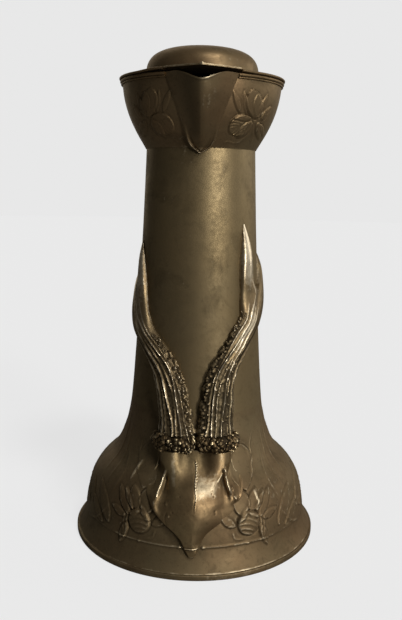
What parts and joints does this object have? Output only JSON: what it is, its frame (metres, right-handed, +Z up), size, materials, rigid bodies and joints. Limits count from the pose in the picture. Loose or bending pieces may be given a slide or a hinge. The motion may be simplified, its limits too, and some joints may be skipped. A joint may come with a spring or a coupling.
{
  "type": "lidded ewer",
  "caption": "Tall lidded pewter ewer with brown patina: flared bell foot, roebuck skull and antlers in relief, keeled spout, loop handle and a hinged domed lid",
  "frame": {"origin": "centre of the resting plane under the foot ring, on the axis of bell, neck and bowl", "axes": "+Z up along the axis; -Y towards the spout, skull and antlers; +Y towards the handle and hinge; +X to the right as seen from the front"},
  "size_m": [0.18, 0.1971, 0.3543],
  "materials": {
    "pewter": "dark brown patina over cast and turned pewter, satin",
    "pewter_rubbed": "brown patina rubbed bright on the high places of the relief",
    "pewter_dark": "unrubbed dark patina of hollows and hidden faces",
    "pin_steel": "hard drawn pin, riveted ends, dulled"
  },
  "bodies": {
    "ewer": {"foot_ring": "pewter", "base_plate": "pewter_dark", "bell": "pewter", "neck": "pewter", "bowl": "pewter", "rim_bead": "pewter_rubbed", "spout": "pewter", "skull": "pewter_rubbed", "burr_left": "pewter_dark", "burr_right": "pewter_dark", "antler_left": "pewter_rubbed", "antler_right": "pewter_rubbed", "handle": "pewter", "handle_upper_boss": "pewter", "handle_lower_boss": "pewter", "hinge_bracket": "pewter", "hinge_pin": "pin_steel"},
    "lid": {"lid_dome": "pewter", "lid_brim": "pewter", "lid_beak": "pewter_rubbed", "lid_collar": "pewter_dark", "lid_strap": "pewter", "thumbpiece": "pewter_rubbed"}
  },
  "joints": [
    {"name": "lid_hinge", "type": "hinge", "parent": "ewer", "child": "lid", "pos_m": [0, 0.068, 0.3304], "axis": [-1, 0, 0], "range_deg": [0, 110]}
  ]
}
